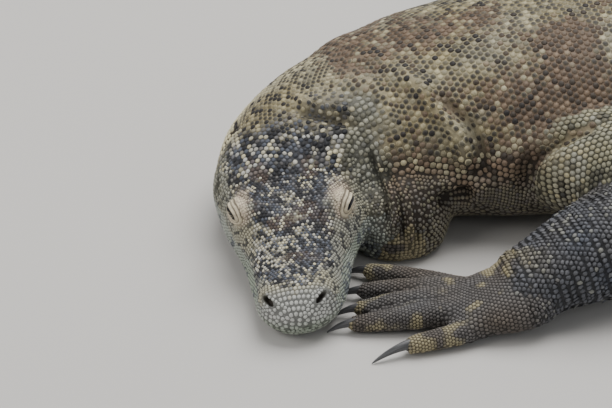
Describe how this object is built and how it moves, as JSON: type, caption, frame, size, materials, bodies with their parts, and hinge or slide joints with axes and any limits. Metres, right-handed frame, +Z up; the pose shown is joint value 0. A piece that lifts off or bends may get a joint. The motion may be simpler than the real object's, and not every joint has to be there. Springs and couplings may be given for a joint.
{
  "type": "komodo dragon model",
  "caption": "Life-size still model of a komodo dragon lying flat, head turned back to its left and resting on the floor, tail trailing.",
  "frame": {"origin": "centre of the bounding box in plan, on the floor the animal lies on", "axes": "+X along the trunk towards the front of the animal, +Y towards its left, +Z up"},
  "size_m": [2.1622, 0.7588, 0.1579],
  "materials": {
    "head_skin": "dry scaly hide, mottled dark grey",
    "body_skin": "dry scaly hide, olive and cream on black",
    "limb_skin": "dry scaly hide, dark grey-brown",
    "eyes": "polished dark brown",
    "claws": "smooth dark horn"
  },
  "bodies": {
    "root": {"head": "head_skin", "lower_jaw": "head_skin", "eye_left": "eyes", "eye_right": "eyes", "neck": "body_skin", "trunk_front": "body_skin", "trunk_rear": "body_skin", "tail_root": "body_skin", "tail_middle": "body_skin", "tail_rear": "body_skin", "tail_tip": "body_skin", "upper_arm_left": "limb_skin", "forearm_left": "limb_skin", "upper_arm_right": "limb_skin", "forearm_right": "limb_skin", "thigh_left": "limb_skin", "shin_left": "limb_skin", "thigh_right": "limb_skin", "shin_right": "limb_skin", "hand_left": "limb_skin", "hand_right": "limb_skin", "foot_left": "limb_skin", "foot_right": "limb_skin", "claw_hand_left_1": "claws", "claw_hand_left_2": "claws", "claw_hand_left_3": "claws", "claw_hand_left_4": "claws", "claw_hand_left_5": "claws", "claw_hand_right_1": "claws", "claw_hand_right_2": "claws", "claw_hand_right_3": "claws", "claw_hand_right_4": "claws", "claw_hand_right_5": "claws", "claw_foot_left_1": "claws", "claw_foot_left_2": "claws", "claw_foot_left_3": "claws", "claw_foot_left_4": "claws", "claw_foot_left_5": "claws", "claw_foot_right_1": "claws", "claw_foot_right_2": "claws", "claw_foot_right_3": "claws", "claw_foot_right_4": "claws", "claw_foot_right_5": "claws"}
  },
  "joints": []
}
